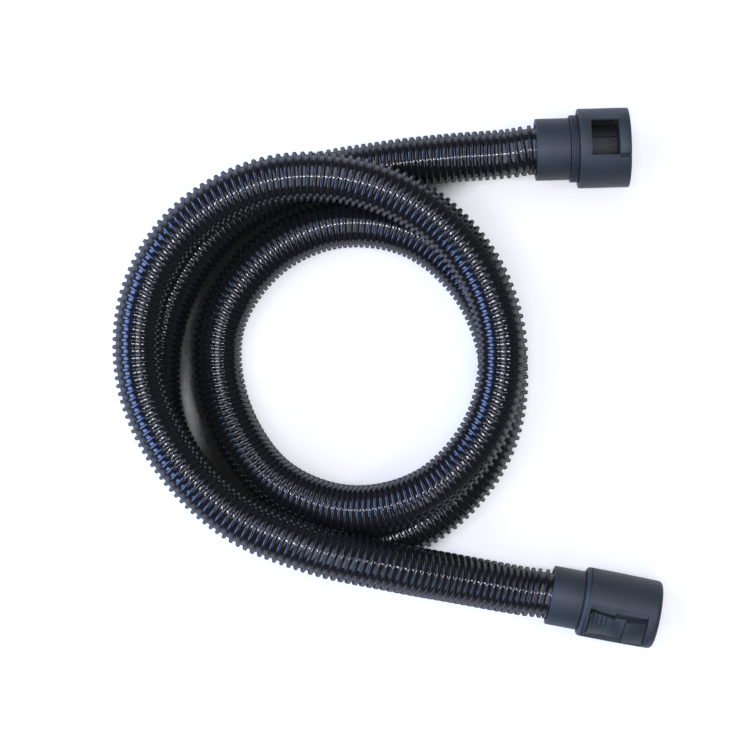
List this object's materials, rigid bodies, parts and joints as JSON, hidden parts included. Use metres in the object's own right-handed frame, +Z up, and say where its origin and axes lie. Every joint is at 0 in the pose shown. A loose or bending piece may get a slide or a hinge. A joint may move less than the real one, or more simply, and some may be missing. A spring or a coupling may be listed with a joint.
{
  "type": "vacuum hose",
  "caption": "Coiled corrugated suction hose with a swivelling socket coupling on one end and a swivelling latched plug coupling on the other.",
  "frame": {"origin": "on the floor, below the middle of the box that holds both couplings", "axes": "+Y from the plug coupling to the socket coupling, +X the way both couplings face, +Z up"},
  "size_m": [0.4802, 0.4753, 0.091],
  "materials": {
    "hose_plastic": "glossy black corrugated",
    "coupling_plastic": "fine satin, dark slate",
    "inner_plastic": "moulded, dark grey",
    "seal_rubber": "soft matt",
    "spring_steel": "drawn wire and strip"
  },
  "bodies": {
    "hose_line": {"hose": "hose_plastic", "socket_neck_cuff": "coupling_plastic", "socket_hose_sleeve": "inner_plastic", "socket_collar": "coupling_plastic", "socket_slide_ring": "inner_plastic", "socket_snap_ring": "spring_steel", "socket_lip_seal": "seal_rubber", "plug_neck_cuff": "coupling_plastic", "plug_hose_sleeve": "inner_plastic", "plug_slide_ring": "inner_plastic", "plug_snap_ring": "spring_steel", "plug_lip_seal": "seal_rubber"},
    "socket_shell": {"socket_drum": "coupling_plastic", "socket_spigot": "inner_plastic", "socket_spigot_seal": "seal_rubber"},
    "plug_shell": {"plug_barrel": "coupling_plastic", "plug_liner": "inner_plastic", "latch_spring_upper": "spring_steel", "latch_spring_lower": "spring_steel"},
    "upper_latch": {"latch_lever_upper": "coupling_plastic"},
    "lower_latch": {"latch_lever_lower": "coupling_plastic"}
  },
  "joints": [
    {"name": "socket_swivel", "type": "hinge", "parent": "hose_line", "child": "socket_shell", "pos_m": [-0.0557, 0.2003, 0.03525], "axis": [0.9996, 0.0279, 0], "continuous": true},
    {"name": "plug_swivel", "type": "hinge", "parent": "hose_line", "child": "plug_shell", "pos_m": [-0.0426, -0.1911, 0.0313], "axis": [0.982, -0.1891, 0], "continuous": true},
    {"name": "upper_latch_press", "type": "hinge", "parent": "plug_shell", "child": "upper_latch", "pos_m": [0.04078, -0.22136, 0.04792], "axis": [-0.1449, -0.7522, -0.6428], "range_deg": [0, 4.5], "stiffness_Nm_per_rad": 2, "springref_deg": -2.86, "deforming": ["latch_spring_upper"]},
    {"name": "lower_latch_press", "type": "hinge", "parent": "plug_shell", "child": "lower_latch", "pos_m": [0.04606, -0.19397, 0.01468], "axis": [0.1449, 0.7522, 0.6428], "range_deg": [0, 4.5], "stiffness_Nm_per_rad": 2, "springref_deg": -2.86, "deforming": ["latch_spring_lower"]}
  ]
}
